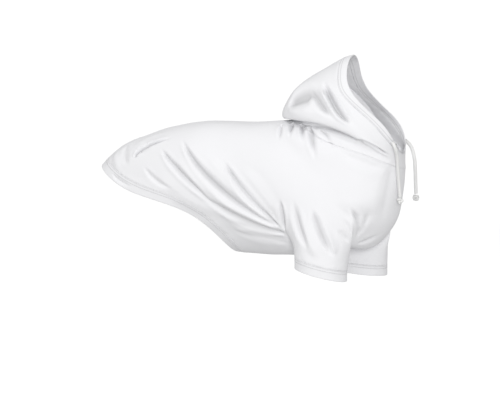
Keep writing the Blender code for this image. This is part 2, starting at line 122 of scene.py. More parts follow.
# Rings of the body from the hem to the neck seam. Lengths are shares: x of the reach to the tail end
# (negative) or to the chest, drops and bows of the chest's depth.
BodyRow = namedtuple("BodyRow", "place back_x back_drop belly_x belly_drop chest neck bow skew")
BODY_ROWS = [BodyRow(*row) for row in (
    (0.00, -1.000, 0.348, -0.182, 0.994, 0.72, 0.00, 0.065, -0.055),
    (0.13, -0.870, 0.193, -0.040, 1.006, 0.79, 0.00, 0.060, -0.040),
    (0.25, -0.740, 0.127, 0.120, 1.008, 0.85, 0.00, 0.040, -0.015),
    (0.38, -0.570, 0.050, 0.290, 1.000, 0.91, 0.00, 0.015, 0.000),
    (0.50, -0.400, 0.012, 0.470, 0.975, 0.95, 0.00, 0.000, 0.000),
    (0.62, -0.220, 0.008, 0.680, 0.940, 0.99, 0.00, 0.000, 0.000),
    (0.74, -0.060, 0.006, 0.900, 0.920, 0.97, 0.00, 0.000, 0.000),
    (0.85, 0.090, -0.002, 0.968, 0.690, 0.60, 0.42, -0.010, 0.000),
    (0.93, 0.175, -0.010, 0.996, 0.482, 0.26, 0.75, -0.020, -0.010),
    (1.00, 0.251, -0.020, 1.008, 0.334, 0.00, 1.00, -0.018, -0.020),
)]

# Rings of the hood from the neck seam to the edge of the opening. Back x is a share of the overhang
# behind the nape or of the reach before it, rise and bows of the hood's rise, width of the neck's.
HoodRow = namedtuple("HoodRow", "name back_x rise width bow skew")
HOOD_ROWS = [HoodRow(*row) for row in (
    ("base", -0.04, 0.060, 0.99, 0.000, -0.020),
    ("crease", -0.18, 0.095, 0.97, 0.130, -0.010),
    ("under", -0.58, 0.035, 1.12, 0.185, -0.005),
    ("roll low", -0.86, 0.000, 1.22, 0.205, 0.000),
    ("roll out", -1.00, 0.045, 1.27, 0.250, 0.000),
    ("bulge", -0.98, 0.140, 1.25, 0.300, 0.000),
    ("side low", -0.76, 0.280, 1.19, 0.300, 0.000),
    ("side", -0.38, 0.450, 1.12, 0.250, 0.000),
    ("side high", 0.12, 0.620, 1.06, 0.185, -0.040),
    ("crown", 0.46, 0.790, 1.00, 0.120, -0.065),
    ("casing seam", 0.80, 0.950, 0.95, -0.015, -0.090),
    ("edge", 0.96, 0.985, 0.92, -0.085, -0.105),
)]

# The throat, where the roll fades into a plain strip that leans back a little
THROAT_START = 0.30
THROAT_EASE = 1.3
THROAT_LEAN = -0.1

# Sleeves: hole and forward are the middles of the armhole and the cuff as shares of the chest's reach,
# drop the cuff's end as a share of the chest's depth, tilt its slope to the front in degrees.
SleeveRow = namedtuple("SleeveRow", "name side hole forward drop tilt")
SLEEVE_ROWS = [SleeveRow(*row) for row in (
    ("near", -1, 0.462, 0.463, 1.105, 13.0),
    ("far", 1, 0.590, 0.630, 1.145, 5.0),
)]

# Armholes: top and bottom as shares of the chest's depth, the foot's distance from the middle as one of
# half the chest's width, and how much height counts where a sleeve's corners are spread round it
ARMHOLE_TOP = 0.36
ARMHOLE_BOTTOM = 0.97
ARMHOLE_INSIDE = 0.26
ARMHOLE_LEAN = 0.6

# Folds, each a valley between two low ridges, along a curve through three places seen from the side.
# On body and neck x is a share of the reach to the tail end or chest, z of the chest's depth. On a
# sleeve x starts at its middle. On the hood both start at the nape, as shares of its reach and rise.
# Depth and width are shares of the fold sizes, and a negative depth makes a ridge. Start and end are
# the shares of the length over which it fades. A side of 0 puts it on both sides, -1 on the near one.
FoldRow = namedtuple("FoldRow", "on x0 z0 x1 z1 x2 z2 depth width start end side")
FOLD_ROWS = [FoldRow(*row) for row in (
    ("body", -0.677, -0.326, -0.590, -0.440, -0.490, -0.495, 0.45, 0.50, 0.25, 0.40, 0),
    ("body", -0.570, -0.210, -0.426, -0.391, -0.230, -0.620, 0.95, 0.60, 0.12, 0.35, 0),
    ("body", -0.350, -0.520, -0.056, -0.721, 0.213, -0.806, 0.90, 0.80, 0.30, 0.10, 0),
    ("body", -0.454, -0.125, -0.187, -0.506, 0.172, -0.764, 1.10, 0.75, 0.12, 0.08, 0),
    ("body", -0.194, -0.268, -0.042, -0.538, 0.173, -0.756, 1.15, 0.62, 0.20, 0.08, 0),
    ("body", 0.190, -0.550, 0.201, -0.677, 0.210, -0.790, 1.00, 0.55, 0.25, 0.20, 0),
    ("body", -0.470, -0.220, -0.280, -0.500, 0.050, -0.715, -0.45, 1.30, 0.25, 0.30, 0),
    ("body", -0.330, -0.180, -0.100, -0.500, 0.130, -0.730, -0.45, 1.20, 0.25, 0.30, 0),
    ("body", -0.600, -0.330, -0.420, -0.550, -0.150, -0.700, -0.30, 1.40, 0.30, 0.30, 0),
    ("body", -0.100, -0.300, 0.040, -0.500, 0.180, -0.680, -0.35, 1.20, 0.30, 0.30, 0),
    ("body", -0.176, -0.707, -0.005, -0.793, 0.208, -0.854, 0.45, 0.90, 0.30, 0.15, 0),
    ("body", -0.160, -0.800, 0.020, -0.850, 0.220, -0.880, 0.35, 0.80, 0.30, 0.20, 0),
    ("body", -0.739, -0.280, -0.684, -0.195, -0.500, -0.110, 1.60, 0.40, 0.20, 0.35, -1),
    ("body", -0.770, -0.262, -0.705, -0.145, -0.510, -0.060, -0.30, 0.60, 0.20, 0.40, -1),
    ("body", -0.885, -0.227, -0.872, -0.299, -0.823, -0.385, -0.45, 0.70, 0.30, 0.30, 0),
    ("body", -0.820, -0.180, -0.810, -0.260, -0.780, -0.340, 0.45, 0.80, 0.30, 0.30, 0),
    ("body", -0.886, -0.396, -0.826, -0.453, -0.732, -0.497, 0.35, 0.35, 0.30, 0.50, 0),
    ("neck", 0.135, -0.010, 0.144, -0.061, 0.149, -0.140, 0.80, 0.38, 0.10, 0.60, 0),
    ("neck", 0.211, -0.002, 0.223, -0.029, 0.231, -0.120, 1.00, 0.40, 0.08, 0.60, 0),
    ("neck", 0.280, -0.005, 0.311, -0.046, 0.330, -0.140, 1.00, 0.40, 0.08, 0.60, 0),
    ("neck", 0.350, -0.020, 0.402, -0.116, 0.436, -0.280, 1.05, 0.55, 0.08, 0.50, 0),
    ("neck", 0.440, -0.040, 0.500, -0.090, 0.536, -0.160, 0.70, 0.50, 0.08, 0.60, 0),
    ("neck", 0.283, -0.017, 0.645, -0.066, 0.953, -0.229, 0.90, 0.40, 0.05, 0.10, 0),
    ("body", 0.600, -0.200, 0.775, -0.260, 0.930, -0.340, 0.30, 1.00, 0.30, 0.30, 0),
    ("body", 0.954, -0.294, 0.935, -0.451, 0.874, -0.752, 0.35, 1.40, 0.30, 0.30, 0),
    ("body", 0.560, -0.560, 0.740, -0.660, 0.860, -0.640, 0.30, 1.30, 0.30, 0.30, 0),
    ("body", 0.818, -0.618, 0.775, -0.731, 0.727, -0.823, 0.45, 0.50, 0.40, 0.30, -1),
    ("body", 0.707, -0.880, 0.784, -0.852, 0.871, -0.797, 0.60, 0.50, 0.20, 0.50, -1),
    ("sleeve", -0.172, -0.543, -0.126, -0.738, -0.044, -0.916, 0.80, 0.75, 0.35, 0.30, 0),
    ("sleeve", -0.030, -0.611, 0.023, -0.755, 0.130, -0.965, 0.90, 0.75, 0.30, 0.25, 0),
    ("sleeve", -0.125, -0.621, -0.037, -0.850, 0.039, -0.963, -0.45, 0.90, 0.30, 0.30, 0),
    ("sleeve", 0.029, -0.668, 0.109, -0.848, 0.148, -0.936, -0.45, 0.80, 0.30, 0.30, 0),
    ("sleeve", 0.213, -0.586, 0.283, -0.700, 0.245, -0.850, 0.65, 0.45, 0.40, 0.25, -1),
    ("sleeve", 0.170, -0.670, 0.225, -0.750, 0.235, -0.830, 0.35, 0.50, 0.35, 0.35, -1),
    ("sleeve", 0.150, -0.754, 0.190, -0.806, 0.225, -0.861, 0.35, 0.50, 0.35, 0.35, -1),
    ("hood", 0.533, 0.589, 0.850, 0.211, 1.181, -0.063, 1.70, 0.62, 0.25, 0.30, 0),
    ("hood", 0.295, 0.480, 0.555, 0.260, 0.775, 0.054, 1.20, 0.80, 0.30, 0.35, 0),
    ("hood", 0.460, 0.400, 0.172, 0.348, -0.134, 0.236, 1.40, 1.90, 0.35, 0.10, 0),
    ("hood", 0.430, 0.534, 0.680, 0.270, 0.980, -0.010, -0.40, 0.60, 0.30, 0.30, 0),
    ("hood", -0.024, 0.113, 0.243, 0.157, 0.618, 0.010, -0.30, 1.20, 0.20, 0.40, 0),
)]
FOLD_PANELS = {
    "body": ("hem_band", "body", "near_sleeve", "far_sleeve"),
    "neck": ("body", "hood"),
    "hood": ("hood", "hood_casing"),
    "sleeve": ("body", "near_sleeve", "near_cuff", "far_sleeve", "far_cuff"),
}

# A fold's steps along its valley, and its cross-section in shares of its width and depth: how narrow
# its ends are, how far out it acts, and the ridges beside the valley. The far side's folds are moved by
# up to the last two, as shares like those of the table.
FOLD_STEPS = 180
FOLD_TAPER = 0.30
FOLD_REACH = 3.2
RIDGE_HEIGHT = 0.30
RIDGE_PLACE = 1.9
RIDGE_WIDTH = 0.8
FAR_SHIFT = 0.025
FAR_RISE = 0.020

# Slow ripples of worn cloth, with quicker and shallower ones on them as shares
RIPPLE_DEPTH = 0.0009
RIPPLE_LENGTH = 0.045
QUICK_DEPTH = 0.35
QUICK_LENGTH = 0.4

# Rims and seams. A twin needle sews hem and cuffs, in two rows at these distances from the seam.
RIM_ANGLES = (0, 45, 90)
SEAM_ROUND = 0.0004
SEAM_PARTS = 4
SEAM_FAR_MM = 30.0
THREAD = 0.0005
THREAD_PROUD = 0.1
STITCH_SPACING = 0.0031
STITCH_LENGTH = 0.0024
TWIN_NEEDLE = (0.0012, 0.0040)
StitchRow = namedtuple("StitchRow", "panel other backs")
STITCH_ROWS = [StitchRow(*row) for row in (
    ("hem_band", "body", TWIN_NEEDLE),
    ("near_cuff", "near_sleeve", TWIN_NEEDLE),
    ("far_cuff", "far_sleeve", TWIN_NEEDLE),
    ("hood_casing", "hood", (0.0012,)),
    ("body", "hood", (0.0016,)),
)]

# Pieces of the garment, with the solids that each stands for
PieceRow = namedtuple("PieceRow", "name panels doubled")
PIECE_ROWS = [PieceRow(*row) for row in (
    ("body_and_sleeves", ("body", "near_sleeve", "far_sleeve"), False),
    ("turned_hem", ("hem_band",), True),
    ("near_turned_cuff", ("near_cuff",), True),
    ("far_turned_cuff", ("far_cuff",), True),
    ("raised_hood", ("hood",), False),
    ("drawcord_casing", ("hood_casing",), True),
)]

# The drawcord's free ends, from the casing down to the knot, and the turn of each knot in radians
NEAR_ROUTE = [
    (0.1657, -0.0351, -0.0220), (0.1676, -0.0370, -0.0243), (0.1696, -0.0362, -0.0295),
    (0.1702, -0.0322, -0.0368), (0.1703, -0.0277, -0.0504), (0.1705, -0.0237, -0.0665),
    (0.1714, -0.0215, -0.0800), (0.1719, -0.0205, -0.0885),
]
FAR_ROUTE = [
    (0.1653, 0.0347, -0.0220), (0.1673, 0.0368, -0.0242), (0.1712, 0.0384, -0.0292),
    (0.1746, 0.0370, -0.0368), (0.1768, 0.0352, -0.0450), (0.1781, 0.0340, -0.0570),
    (0.1788, 0.0332, -0.0710), (0.1796, 0.0326, -0.0883),
]

CordRow = namedtuple("CordRow", "name route knot_turn")
CORD_ROWS = [CordRow("near", NEAR_ROUTE, 0.5), CordRow("far", FAR_ROUTE, 1.6)]

# Grain of cords and knots, how a cord's end tapers, and how a knot is drawn tight
TUBE_SIDES = 20
CORD_STEPS = 90
CORD_END = 0.06
END_TAPER = 0.12
KNOT_STRAND = 0.0030
KNOT_POINTS = 24
KNOT_STEPS = 120
KNOT_PACK = 0.9
KNOT_FLAT = 0.9

# Relief of the jersey in millimetres. The real wales are about 0.7 mm apart, drawn coarser to show.
WALE_SPACING = 1.2
WALE_DEPTH = 0.035
FUZZ_SIZE = 0.9
FUZZ_DEPTH = 0.10
PUCKER_SIZE = 6.0
PUCKER_REACH = 6.0
PUCKER_DEPTH = 1.1
GROOVE_WIDTH = 0.548
GROOVE_DEPTH = 0.15

# Tone of the jersey: unevenness of the dye, and painted shade that darkens its colour in needle grooves
# and deep folds
DYE_SIZE = 80.0
DYE_SHARE = 0.975
PAINTED_SHADE_SHARE = 0.55
GROOVE_PAINTED_SHADE = 0.45
FOLD_SHADE = 0.60
FOLD_SHADE_FROM = 0.8
FOLD_SHADE_TO = 5.0

# Studio: a paper sweep that bends up behind, even air and two soft lamps
FLOOR_HEIGHT = -0.352
SWEEP_HALF = 5.0
SWEEP_FRONT = -3.0
SWEEP_BACK = 2.2
SWEEP_BEND = 0.8
SWEEP_TOP = 3.0
SWEEP_STEPS = 12
SWEEP_GLOW = 0.50
AIR_ABOVE = 0.57
AIR_BELOW = 0.56
LampRow = namedtuple("LampRow", "name x y z size power")
LAMP_ROWS = [LampRow(*row) for row in (
    ("key", -0.5, -1.5, 1.5, 0.5, 9.0),
    ("front", 0.9, -2.0, 0.3, 0.6, 17.5),
)]


def along(share):
    """An x from a share of the reach to the tail end or to the chest."""
    return share * (TAIL_REACH if share < 0 else CHEST_REACH)


def curve_at(marks, values, place):
    """The values at a place on a smooth curve that passes through those at the marks."""
    slopes = np.gradient(values, marks, axis=0)
    i = int(np.clip(np.searchsorted(marks, place) - 1, 0, len(marks) - 2))
    step = marks[i + 1] - marks[i]
    t = (place - marks[i]) / step
    return (values[i] * (1 + 2 * t) * (1 - t) ** 2 + values[i + 1] * t * t * (3 - 2 * t)
            + step * (slopes[i] * t * (1 - t) ** 2 - slopes[i + 1] * t * t * (1 - t)))


# A ring is a loop round the garment: its top and bottom on the middle line, its half width, how far its
# sides bow up from the chord between them, and how much more so above the middle than below it.
Ring = namedtuple("Ring", "top bottom half bow skew")


def body_ring(place):
    """The ring of the body at a share of the way from the hem to the neck seam."""
    table = np.array(BODY_ROWS)
    row = BodyRow(*curve_at(table[:, 0], table, place))
    return Ring(
        np.array([along(row.back_x), CLOTH - row.back_drop * CHEST_DEPTH]),
        np.array([along(row.belly_x), CLOTH - row.belly_drop * CHEST_DEPTH]),
        (row.chest * CHEST_WIDTH + row.neck * NECK_WIDTH) / 2,
        row.bow * CHEST_DEPTH,
        row.skew * CHEST_DEPTH,
    )


def hood_rings():
    """The rings of the hood, each a little further up its front than the one before."""
    seam = body_ring(1.0)
    rings = [seam]
    for number, row in enumerate(HOOD_ROWS, 1):
        reach = HOOD_OVERHANG if row.back_x < 0 else HOOD_FORWARD
        share = number / len(HOOD_ROWS)
        rings.append(Ring(
            seam.top + np.array([row.back_x * reach, row.rise * HOOD_RISE]),
            seam.bottom + np.array([THROAT_LEAN, 1.0]) * share * THROAT_RISE,
            row.width * NECK_WIDTH / 2,
            row.bow * HOOD_RISE,
            row.skew * HOOD_RISE,
        ))
    return rings


def ring_point(ring, turn):
    """A point of a ring. A turn of 0 is the top, a quarter the near side and a half the bottom."""
    angle = 2 * math.pi * turn
    level = math.cos(angle)
    across = math.sin(angle)
    down = 0.5 - 0.5 * math.copysign(abs(level) ** LEVEL_EASE, level)
    chord = ring.bottom - ring.top
    normal = np.array([-chord[1], chord[0]]) / np.hypot(*chord)
    lift = ring.bow * math.sin(math.pi * down) + ring.skew * math.sin(2 * math.pi * down)
    x, z = ring.top + chord * down + normal * lift
    y = -ring.half * math.copysign(abs(across) ** SIDE_FULLNESS, across)
    return np.array([x, y, z])


def ring_points(ring):
    """The corners of the cage on a ring."""
    return [ring_point(ring, j / AROUND) for j in range(AROUND)]


def hood_cage():
    """The hood's rows of corners. Towards the throat its roll fades into a plain strip."""
    rings = [ring_points(ring) for ring in hood_rings()]
    strands = []
    for j in range(AROUND):
        level = math.cos(2 * math.pi * j / AROUND)
        fade = np.clip((-level - THROAT_START) / (1 - THROAT_START), 0, 1) ** THROAT_EASE
        strand = np.array([ring[j] for ring in rings])
        strip = np.linspace(strand[0], strand[-1], len(strand))
        strands.append(with_casing(strand) * (1 - fade) + strip * fade)
    return [[strand[k] for strand in strands] for k in range(len(rings))]


def with_casing(strand):
    """A strand of the hood, moved along itself so that its last step is as deep as the casing."""
    steps = np.linalg.norm(np.diff(strand, axis=0), axis=1)
    marks = np.concatenate([[0], np.cumsum(steps)])
    casing = min(CASING_DEPTH, marks[-1] / 2)
    places = marks * (marks[-1] - casing) / marks[-2]
    places[-1] = marks[-1]
    return np.stack([np.interp(places, marks, strand[:, axis]) for axis in range(3)], axis=1)


PANELS = ("hem_band", "body", "hood", "hood_casing",
          "near_sleeve", "near_cuff", "far_sleeve", "far_cuff")

# The armholes' first and last rings, and their upper and lower corners round the near side
ARMHOLE_FIRST, ARMHOLE_LAST = 8, 13
ARMHOLE_UP, ARMHOLE_DOWN = 4, 7


class Cage:
    """The corners and faces of the whole surface, before it is smoothed."""

    def __init__(self):
        self.points = []
        self.faces = []
        self.labels = []

    def add_ring(self, points):
        """Adds a loop of corners and gives their numbers."""
        first = len(self.points)
        self.points.extend(np.array(point) for point in points)
        return list(range(first, first + len(points)))

    def join(self, lower, upper, panel, skip=()):
        """Adds a band of faces between two loops, apart from those skipped."""
        count = len(lower)
        for j in range(count):
            if j not in skip:
                after = (j + 1) % count
                self.faces.append((lower[j], lower[after], upper[after], upper[j]))
                self.labels.append(PANELS.index(panel))


def body_tree():
    """A search tree over the body's plain form, with no armholes."""
    form = Cage()
    loops = [form.add_ring([ring_point(body_ring(i / FORM_RINGS), j / FORM_AROUND)
                            for j in range(FORM_AROUND)]) for i in range(FORM_RINGS + 1)]
    for lower, upper in zip(loops, loops[1:]):
        form.join(lower, upper, "body")
    return search_tree(form.points, form.faces)


def search_tree(points, faces):
    """A search tree over some faces."""
    return BVHTree.FromPolygons([Vector(point) for point in points], faces)


def hem_seam_places():
    """For each corner round the body, the place where the body is one hem's depth from its edge."""
    hem = body_ring(0.0)
    edge = np.array([ring_point(hem, step / EDGE_STEPS) for step in range(EDGE_STEPS)])
    places = []
    for j in range(AROUND):
        low, high = 0.0, SEAM_SEARCH
        for _ in range(HALVINGS):
            middle = (low + high) / 2
            point = ring_point(body_ring(middle), j / AROUND)
            if np.linalg.norm(edge - point, axis=1).min() < HEM_DEPTH:
                low = middle
            else:
                high = middle
        places.append(high)
    return places


def body_rows():
    """The body's rows of corners: the hem's edge, its seam, then even steps to the neck."""
    steps = BODY_RINGS - 2
    rows = [ring_points(body_ring(0.0))]
    seams = hem_seam_places()
    for i in range(steps + 1):
        rows.append([ring_point(body_ring(seam + (1 - seam) * i / steps), j / AROUND)
                     for j, seam in enumerate(seams)])
    return rows


def armhole_faces(side):
    """The faces round the body that one side's armhole takes out of a ring."""
    near = range(ARMHOLE_UP, ARMHOLE_DOWN)
    return [j if side < 0 else AROUND - 1 - j for j in near]


def armhole_loop(rings, side):
    """The corners round one armhole, in order."""
    up = ARMHOLE_UP if side < 0 else AROUND - ARMHOLE_UP
    down = ARMHOLE_DOWN if side < 0 else AROUND - ARMHOLE_DOWN
    step = 1 if down > up else -1
    loop = [rings[ARMHOLE_FIRST][j] for j in range(up, down, step)]
    loop += [rings[i][down] for i in range(ARMHOLE_FIRST, ARMHOLE_LAST)]
    loop += [rings[ARMHOLE_LAST][j] for j in range(down, up, -step)]
    loop += [rings[i][up] for i in range(ARMHOLE_LAST, ARMHOLE_FIRST, -1)]
    return loop if side < 0 else loop[::-1]


def shape_armhole(cage, loop, row, tree):
    """Moves an armhole's corners onto an oval on the body's form."""
    forward, out = row.hole * CHEST_REACH, row.side * CHEST_WIDTH / 2
    top = np.array([forward, out, -ARMHOLE_TOP * CHEST_DEPTH])
    foot = np.array([forward, ARMHOLE_INSIDE * out, -ARMHOLE_BOTTOM * CHEST_DEPTH])
    centre, rise = (top + foot) / 2, (top - foot) / 2
    ahead = np.array([ARMHOLE_WIDTH / 2, 0, 0])
    offsets = [cage.points[number] - centre for number in loop]
    angles = even_turns([math.atan2(offset @ rise / (rise @ rise), offset @ ahead / (ahead @ ahead))
                         for offset in offsets])
    for number, angle in zip(loop, angles):
        point = centre + ahead * math.cos(angle) + rise * math.sin(angle)
        cage.points[number] = np.array(tree.find_nearest(Vector(point))[0])


def even_turns(angles):
    """Even steps once round a loop, as near as they can be to the given angles."""
    turns = np.unwrap(angles)
    steps = math.copysign(2 * math.pi / len(turns), turns[-1] - turns[0]) * np.arange(len(turns))
    return np.mean(turns - steps) + steps


def relax(cage, fixed, tree):
    """Evens out the corners of the body round the armholes, on the body's form."""
    links = linked(cage)
    free = [number for number in links if number not in fixed]
    for _ in range(RELAX_ROUNDS):
        moved = {}
        for number in free:
            mean = np.mean([cage.points[other] for other in links[number]], axis=0)
            moved[number] = np.array(tree.find_nearest(Vector(mean))[0])
        for number, point in moved.items():
            cage.points[number] = point


def cuff_ring(row, above, angles):
    """A loop of the cuff at a height above its end."""
    centre = np.array([row.forward * CHEST_REACH, row.side * LEG_SPREAD / 2,
                       -row.drop * CHEST_DEPTH + above])
    slope = math.tan(math.radians(row.tilt))
    points = []
    for angle in angles:
        ahead = CUFF_LENGTH / 2 * math.cos(angle)
        out = CUFF_WIDTH / 2 * math.sin(angle)
        points.append(centre + np.array([ahead, row.side * out, -slope * ahead]))
    return points


def add_sleeve(cage, loop, row):
    """Runs a sleeve and its cuff down from an armhole."""
    starts = [cage.points[number] for number in loop]
    offsets = starts - np.mean(starts, axis=0)
    angles = even_turns([math.atan2(row.side * y + ARMHOLE_LEAN * z, x) for x, y, z in offsets])
    end = cuff_ring(row, 0.0, angles)
    seam = cuff_ring(row, CUFF_DEPTH, angles)
    previous = loop
    for ring in range(1, SLEEVE_RINGS + 1):
        t = ring / SLEEVE_RINGS
        ease = t * t * (3 - 2 * t)
        points = []
        for start, finish in zip(starts, seam):
            point = start * (1 - ease) + finish * ease
            point[2] = start[2] * (1 - t) + finish[2] * t
            points.append(point)
        numbers = cage.add_ring(points)
        cage.join(previous, numbers, row.name + "_sleeve")
        previous = numbers
    cage.join(previous, cage.add_ring(end), row.name + "_cuff")


def build_cage():
    """The whole garment as one coarse surface."""
    cage = Cage()
    rings = [cage.add_ring(row) for row in body_rows()]
    holes = armhole_faces(-1) + armhole_faces(1)
    for i in range(BODY_RINGS - 1):
        inside = ARMHOLE_FIRST <= i < ARMHOLE_LAST
        cage.join(rings[i], rings[i + 1], "hem_band" if i == 0 else "body", holes if inside else ())
    tree = body_tree()
    loops = [armhole_loop(rings, row.side) for row in SLEEVE_ROWS]
    for loop, row in zip(loops, SLEEVE_ROWS):
        shape_armhole(cage, loop, row, tree)
    relax(cage, set(rings[0] + rings[1] + rings[-1] + loops[0] + loops[1]), tree)
    rows = hood_cage()
    previous = rings[-1]
    for i, row in enumerate(rows[1:]):
        numbers = cage.add_ring(row)
        cage.join(previous, numbers, "hood" if i < len(rows) - 2 else "hood_casing")
        previous = numbers
    for loop, row in zip(loops, SLEEVE_ROWS):
        add_sleeve(cage, loop, row)
    soften_shoulders(cage, loops)
    return cage


def linked(cage):
    """The corners that share an edge with each corner."""
    links = {}
    for face in cage.faces:
        for a, b in zip(face, face[1:] + face[:1]):
            links.setdefault(a, set()).add(b)
            links.setdefault(b, set()).add(a)
    return links


def soften_shoulders(cage, loops):
    """Blends the top of each sleeve into the shoulder. The armpit stays a crease, the chest full."""
    links = linked(cage)
    for loop in loops:
        near = {number: 1.0 for number in loop}
        for step in range(SHOULDER_REACH):
            for number in list(near):
                for other in links[number]:
                    near.setdefault(other, 1 - (step + 1) / (SHOULDER_REACH + 1))
        foot = -ARMHOLE_BOTTOM * CHEST_DEPTH
        rise = (ARMHOLE_BOTTOM - ARMHOLE_TOP) * CHEST_DEPTH
        front = max(cage.points[number][0] for number in loop) - ARMHOLE_WIDTH / 4
        for _ in range(SHOULDER_ROUNDS):
            moved = {}
            for number, share in near.items():
                point = cage.points[number]
                height = np.clip((point[2] - foot) / rise, 0, 1)
                behind = np.clip(1 - (point[0] - front) / (ARMHOLE_WIDTH / 4), 0, 1)
                mean = np.mean([cage.points[other] for other in links[number]], axis=0)
                moved[number] = point + (mean - point) * height ** SHOULDER_EASE * share * behind
            for number, point in moved.items():
                cage.points[number] = point


def smooth_surface(points, cage, levels):
    """The cage as a mesh, rounded by subdivision."""
    mesh = bpy.data.meshes.new("surface")
    mesh.from_pydata([tuple(point) for point in points], [], cage.faces)
    mesh.polygons.foreach_set("material_index", cage.labels)
    for _ in PANELS:
        mesh.materials.append(None)
    obj = new_object("surface", mesh)
    modifier = obj.modifiers.new("rounding", "SUBSURF")
    modifier.levels = levels
    modifier.render_levels = levels
    smooth = finished_mesh(obj)
    bpy.data.meshes.remove(mesh)
    return smooth


def new_object(name, data):
    """A new object in the scene."""
    obj = bpy.data.objects.new(name, data)
    bpy.context.collection.objects.link(obj)
    return obj


def finished_mesh(obj):
    """An object's mesh with its modifiers applied. The object itself is removed."""
    graph = bpy.context.evaluated_depsgraph_get()
    mesh = bpy.data.meshes.new_from_object(obj.evaluated_get(graph))
    bpy.data.objects.remove(obj, do_unlink=True)
    return mesh


def corners_of(mesh):
    """A mesh's corners as an array."""
    flat = np.empty(3 * len(mesh.vertices))
    mesh.vertices.foreach_get("co", flat)
    return flat.reshape(-1, 3)


def move_corners(mesh, points):
    """Moves a mesh's corners to new places."""
    mesh.vertices.foreach_set("co", points.ravel())
    mesh.update()


def garment_surface(levels):
    """The smooth surface, which passes through the cage's own corners."""
    cage = build_cage()
    target = np.array(cage.points)
    points = target.copy()
    for _ in range(FIT_ROUNDS):
        smooth = smooth_surface(points, cage, 1)
        points += target - corners_of(smooth)[:len(points)]
    return smooth_surface(points, cage, levels)


def normals_of(mesh):
    """A mesh's corner normals as an array."""
    return np.array([tuple(vertex.normal) for vertex in mesh.vertices])


def even_out(mesh, form):
    """Evens the grid between the seams on the smooth form, so that no row of it bunches up."""
    points = corners_of(mesh)
    ends = np.empty(2 * len(mesh.edges), int)
    mesh.edges.foreach_get("vertices", ends)
    ends = ends.reshape(-1, 2)
    sides = np.empty(len(mesh.loops), int)
    mesh.loops.foreach_get("edge_index", sides)
    whole = [PANELS.index("body" if name.endswith("sleeve") else name) for name in PANELS]
    labels = np.array([whole[face.material_index] for face in mesh.polygons for _ in face.vertices])
    low, high = np.full(len(ends), len(PANELS)), np.full(len(ends), -1)
    np.minimum.at(low, sides, labels)
    np.maximum.at(high, sides, labels)
    fixed = np.zeros(len(points), bool)
    fixed[ends[(low != high) | (np.bincount(sides) < 2)].ravel()] = True
    free = np.flatnonzero(~fixed)
    links = np.bincount(ends.ravel(), minlength=len(points))[:, None]
    tree = surface_tree(form)
    for _ in range(EVEN_ROUNDS):
        for _ in range(EVEN_STEPS):
            total = np.zeros_like(points)
            np.add.at(total, ends[:, 0], points[ends[:, 1]])
            np.add.at(total, ends[:, 1], points[ends[:, 0]])
            points[free] = (total / links)[free]
        for number in free:
            points[number] = tree.find_nearest(Vector(points[number]))[0]
    move_corners(mesh, points)


def surface_tree(mesh):
    """A search tree over a mesh."""
    return search_tree(corners_of(mesh), [tuple(face.vertices) for face in mesh.polygons])


def members_of(mesh, panels):
    """The faces of some panels, and the numbers of their corners."""
    labels = {PANELS.index(name) for name in panels}
    faces = [tuple(face.vertices) for face in mesh.polygons if face.material_index in labels]
    return faces, np.array(sorted({number for face in faces for number in face}))


def fold_paths(mesh):
    """Every fold of the table with its valley's path, on each side that has it."""
    paths = []
    for on, panels in FOLD_PANELS.items():
        tree = search_tree(corners_of(mesh), members_of(mesh, panels)[0])
        for sleeve in SLEEVE_ROWS:
            for number, row in enumerate(FOLD_ROWS):
                if row.on == on and row.side in (0, sleeve.side):
                    paths.append((row, fold_path(own_fold(row, sleeve, number), sleeve, tree)))
    return paths


def near_path(points, members, path, reach):
    """The corners within reach of a path, and how far from it and along it each lies."""
    low, high = path.min(axis=0) - reach, path.max(axis=0) + reach
    near = members[np.all((points[members] > low) & (points[members] < high), axis=1)]
    gaps = np.linalg.norm(points[near][:, None, :] - path[None, :, :], axis=2)
    return near, gaps.min(axis=1), np.argmin(gaps, axis=1) / (len(path) - 1)


def refine(mesh, paths, form):
    """Halves the faces beside the valleys, with their new corners on the smooth form."""
    points = corners_of(mesh)
    groups = {on: members_of(mesh, panels)[1] for on, panels in FOLD_PANELS.items()}
    close = np.zeros(len(points), bool)
    for row, path in paths:
        if row.depth > 0:
            reach = FINE_REACH * min(row.width, 1) * FOLD_WIDTH
            near, gaps, _ = near_path(points, groups[row.on], path, reach)
            close[near[gaps < reach]] = True
    work = bmesh.new()
    work.from_mesh(mesh)
    edges = {edge for face in work.faces if any(close[corner.index] for corner in face.verts)
             for edge in face.edges}
    bmesh.ops.subdivide_edges(work, edges=list(edges), cuts=1, use_grid_fill=True)
    work.verts.ensure_lookup_table()
    tree = surface_tree(form)
    for corner in work.verts[len(points):]:
        corner.co = tree.find_nearest(corner.co)[0]
    work.to_mesh(mesh)
    work.free()
    mesh.update()


def press_folds(mesh, paths):
    """Presses the folds into both sides and lets the cloth ripple a little."""
    points, normals = corners_of(mesh), normals_of(mesh)
    push = np.zeros(len(points))
    groups = {on: members_of(mesh, panels)[1] for on, panels in FOLD_PANELS.items()}
    for row, path in paths:
        reach = FOLD_REACH * row.width * FOLD_WIDTH
        near, gaps, place = near_path(points, groups[row.on], path, reach)
        push[near] += fold_push(row, gaps, place)
    # Each fold's depth is kept for the jersey's painted shade, which darkens the colour where a fold is
    # pressed deep
    mesh.attributes.new("pressed_mm", "FLOAT", "POINT").data.foreach_set("value", -1000 * push)
    push += [ripple(point) for point in points]
    move_corners(mesh, points + normals * push[:, None])


def own_fold(row, sleeve, number):
    """A fold as it lies on one side. The far side's are moved a little, so that they don't mirror."""
    if sleeve.side < 0 or row.side:
        return row
    shift = FAR_SHIFT * math.sin(2.1 * number + 0.7)
    rise = FAR_RISE * math.cos(1.7 * number)
    return row._replace(x0=row.x0 + shift, x1=row.x1 - shift, x2=row.x2 + shift / 2,
                        z0=row.z0 + rise, z1=row.z1 + rise / 2, z2=row.z2 - rise / 2)


